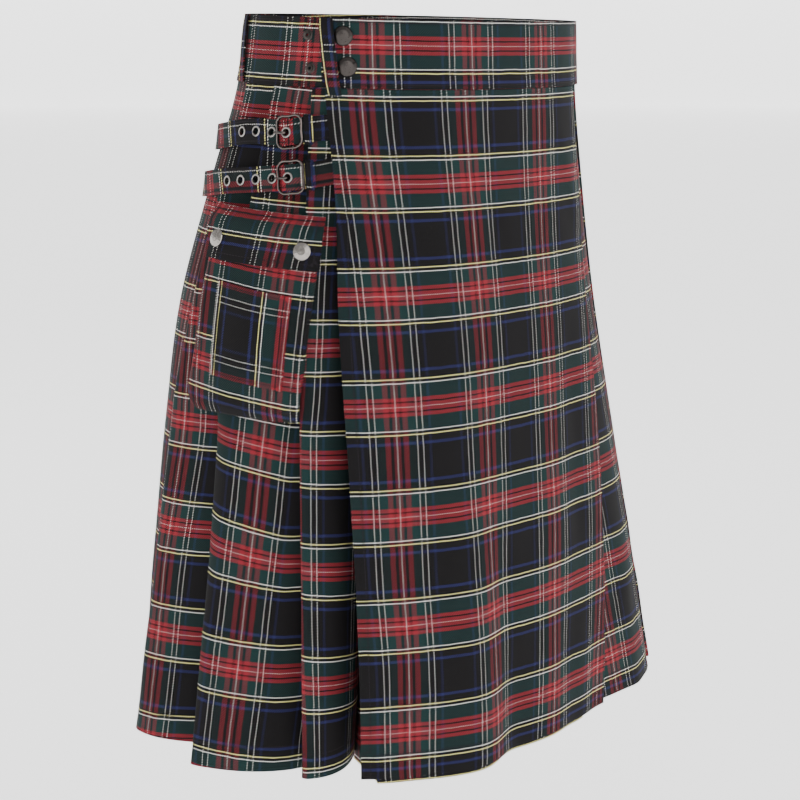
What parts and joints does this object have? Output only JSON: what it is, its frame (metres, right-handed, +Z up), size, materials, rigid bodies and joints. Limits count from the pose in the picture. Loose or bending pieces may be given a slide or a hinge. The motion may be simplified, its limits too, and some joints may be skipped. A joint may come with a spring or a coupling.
{
  "type": "utility kilt",
  "caption": "Knee length tartan utility kilt in its worn form, with a plain front apron, knife pleats, a snapped waistband, buckled hip straps and a cargo pocket.",
  "frame": {"origin": "centre of the waist opening, level with the waistband's top edge, where the wearer's waist holds the kilt", "axes": "+Z up towards the waist opening, -Y towards the front apron, +X towards the wearer's left"},
  "size_m": [0.5238, 0.3517, 0.617],
  "materials": {
    "tartan": "woven twill tartan in red, dark green, black and blue with white and pale yellow lines",
    "tartan_turned": "the same tartan cut with its weave turned a quarter turn",
    "snap_dark": "dark nickel plated snap caps",
    "snap_bright": "nickel plated snap parts",
    "buckle_metal": "nickel plated wire",
    "eyelet_metal": "pressed nickel plated eyelets"
  },
  "bodies": {
    "root": {"belt_loop_back": "tartan_turned", "belt_loop_front": "tartan_turned", "belt_loop_left": "tartan_turned", "belt_loop_right": "tartan_turned", "buckle_lower": "buckle_metal", "buckle_tab_lower": "tartan_turned", "buckle_tab_upper": "tartan_turned", "buckle_upper": "buckle_metal", "eyelet_lower_1": "eyelet_metal", "eyelet_lower_2": "eyelet_metal", "eyelet_lower_3": "eyelet_metal", "eyelet_lower_4": "eyelet_metal", "eyelet_lower_5": "eyelet_metal", "eyelet_upper_1": "eyelet_metal", "eyelet_upper_2": "eyelet_metal", "eyelet_upper_3": "eyelet_metal", "eyelet_upper_4": "eyelet_metal", "flap_cap_back": "snap_bright", "flap_cap_front": "snap_bright", "front_apron": "tartan", "keeper_lower": "tartan_turned", "keeper_upper": "tartan_turned", "left_side_panel": "tartan", "pleat_01": "tartan", "pleat_02": "tartan", "pleat_03": "tartan", "pleat_04": "tartan", "pleat_05": "tartan", "pleat_06": "tartan", "pleat_07": "tartan", "pleat_08": "tartan", "pleat_09": "tartan", "pleat_10": "tartan", "pleat_11": "tartan", "pleat_12": "tartan", "pleat_13": "tartan", "pocket_body": "tartan", "pocket_flap": "tartan", "pocket_patch": "tartan_turned", "prong_lower": "buckle_metal", "prong_upper": "buckle_metal", "snap_cap_low": "snap_dark", "snap_cap_top": "snap_dark", "snap_stud_low": "snap_bright", "snap_stud_top": "snap_bright", "strap_lower": "tartan_turned", "strap_upper": "tartan_turned", "under_apron": "tartan", "waistband": "tartan"}
  },
  "joints": []
}
